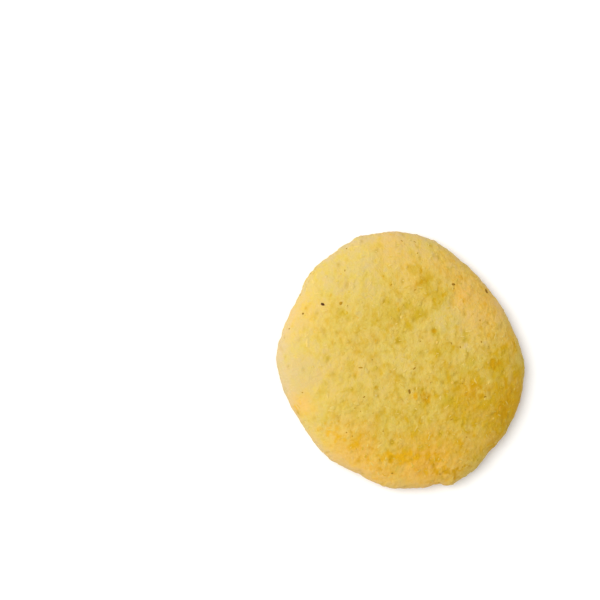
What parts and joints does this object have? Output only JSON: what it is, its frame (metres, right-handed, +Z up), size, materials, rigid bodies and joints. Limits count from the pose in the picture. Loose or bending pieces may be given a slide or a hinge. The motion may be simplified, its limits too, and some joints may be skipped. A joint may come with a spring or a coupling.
{
  "type": "coconut cookie",
  "caption": "Round baked cookie with a low domed crust, soft rolled edge and flat underside, flecked with fine coconut.",
  "frame": {"origin": "middle of the flat underside, below the centre of the cookie's box", "axes": "+Z up through the domed crust; +X and +Y lie along the picture's right and up directions"},
  "size_m": [0.0712, 0.0718, 0.0117],
  "materials": {
    "baked_dough": "matt baked dough, pale golden yellow with coconut flecks and golden-brown toasted patches"
  },
  "bodies": {
    "root": {"cookie": "baked_dough"}
  },
  "joints": []
}
